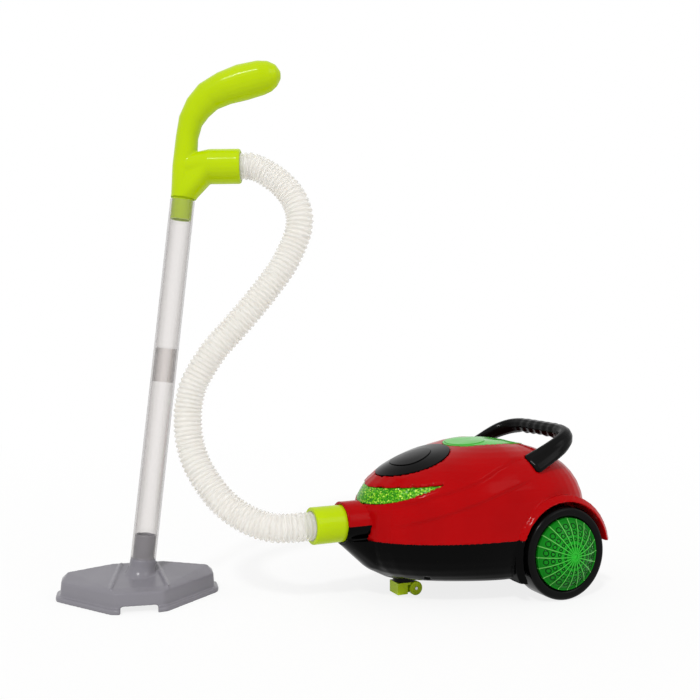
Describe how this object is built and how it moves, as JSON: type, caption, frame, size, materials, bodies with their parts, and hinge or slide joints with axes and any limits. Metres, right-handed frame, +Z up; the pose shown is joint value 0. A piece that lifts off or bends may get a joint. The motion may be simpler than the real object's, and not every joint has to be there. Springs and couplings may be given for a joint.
{
  "type": "toy vacuum cleaner",
  "caption": "Toy canister vacuum with red and black body, green lamp lens and hub caps, ribbed hose, clear wand, lime crook handle and grey floor head.",
  "frame": {"origin": "on the floor, under the middle of the toy", "axes": "+Z up; the canister drives towards -X; its left side is towards -Y"},
  "size_m": [0.5198, 0.251, 0.5448],
  "materials": {
    "red_abs": "polished moulding",
    "black_abs": "polished moulding",
    "black_matte": "fine grain",
    "lime_abs": "polished moulding",
    "green_clear": "translucent, polished",
    "clear_tube": "clear, polished",
    "grey_abs": "satin",
    "hose_vinyl": "milky, satin",
    "steel": "plated",
    "board": "laminate",
    "lamp": "clear epoxy",
    "cell": "printed sleeve"
  },
  "bodies": {
    "canister": {"upper_shell": "red_abs", "lower_shell": "black_abs", "headlamp_lens": "green_clear", "lamp_board": "board", "headlamp_leds": "lamp", "button_panel": "black_abs", "switch_board": "board", "power_switch": "black_matte", "top_window": "green_clear", "light_board": "board", "light_switch": "black_matte", "board_screws": "steel", "carry_handle": "black_matte", "handle_screws": "steel", "shell_screws": "steel", "speaker": "black_matte", "battery_door": "black_abs", "battery_door_screw": "steel", "battery_cells": "cell", "battery_contacts": "steel", "rear_axle": "steel", "axle_push_nuts": "steel", "caster_bush": "black_matte", "hose": "hose_vinyl", "handle_left_half": "lime_abs", "handle_right_half": "lime_abs", "handle_half_screws": "steel", "tube_spigot": "lime_abs", "upper_tube": "clear_tube", "lower_tube": "clear_tube", "floor_head": "grey_abs"},
    "wheel_left": {"rear_wheel_left": "black_matte", "hub_cap_left": "green_clear"},
    "wheel_right": {"rear_wheel_right": "black_matte", "hub_cap_right": "green_clear"},
    "caster": {"caster_block": "lime_abs", "caster_axle": "steel", "caster_screw": "steel"},
    "rollers": {"caster_wheels": "lime_abs"},
    "power_key": {"power_button": "black_abs"},
    "light_key": {"light_button": "green_clear"},
    "cuff": {"hose_cuff": "lime_abs"}
  },
  "joints": [
    {"name": "wheel_left_spin", "type": "hinge", "parent": "canister", "child": "wheel_left", "pos_m": [0.1966, -0.1003, 0.046], "axis": [0, 1, 0], "continuous": true},
    {"name": "wheel_right_spin", "type": "hinge", "parent": "canister", "child": "wheel_right", "pos_m": [0.1966, 0.0457, 0.046], "axis": [0, 1, 0], "continuous": true},
    {"name": "caster_swivel", "type": "hinge", "parent": "canister", "child": "caster", "pos_m": [0.0606, -0.0273, 0.025], "axis": [0, 0, 1], "continuous": true},
    {"name": "roller_spin", "type": "hinge", "parent": "caster", "child": "rollers", "pos_m": [0.0706, -0.0273, 0.007], "axis": [0, 1, 0], "continuous": true},
    {"name": "power_press", "type": "slide", "parent": "canister", "child": "power_key", "axis": [0.3241, 0, -0.946], "range_m": [0, 0.0025], "stiffness_N_per_m": 400},
    {"name": "light_press", "type": "slide", "parent": "canister", "child": "light_key", "axis": [-0.0398, 0, -0.9992], "range_m": [0, 0.0025], "stiffness_N_per_m": 400},
    {"name": "cuff_swivel", "type": "hinge", "parent": "canister", "child": "cuff", "pos_m": [-0.0194, -0.0273, 0.078], "axis": [1, 0, 0], "continuous": true}
  ]
}
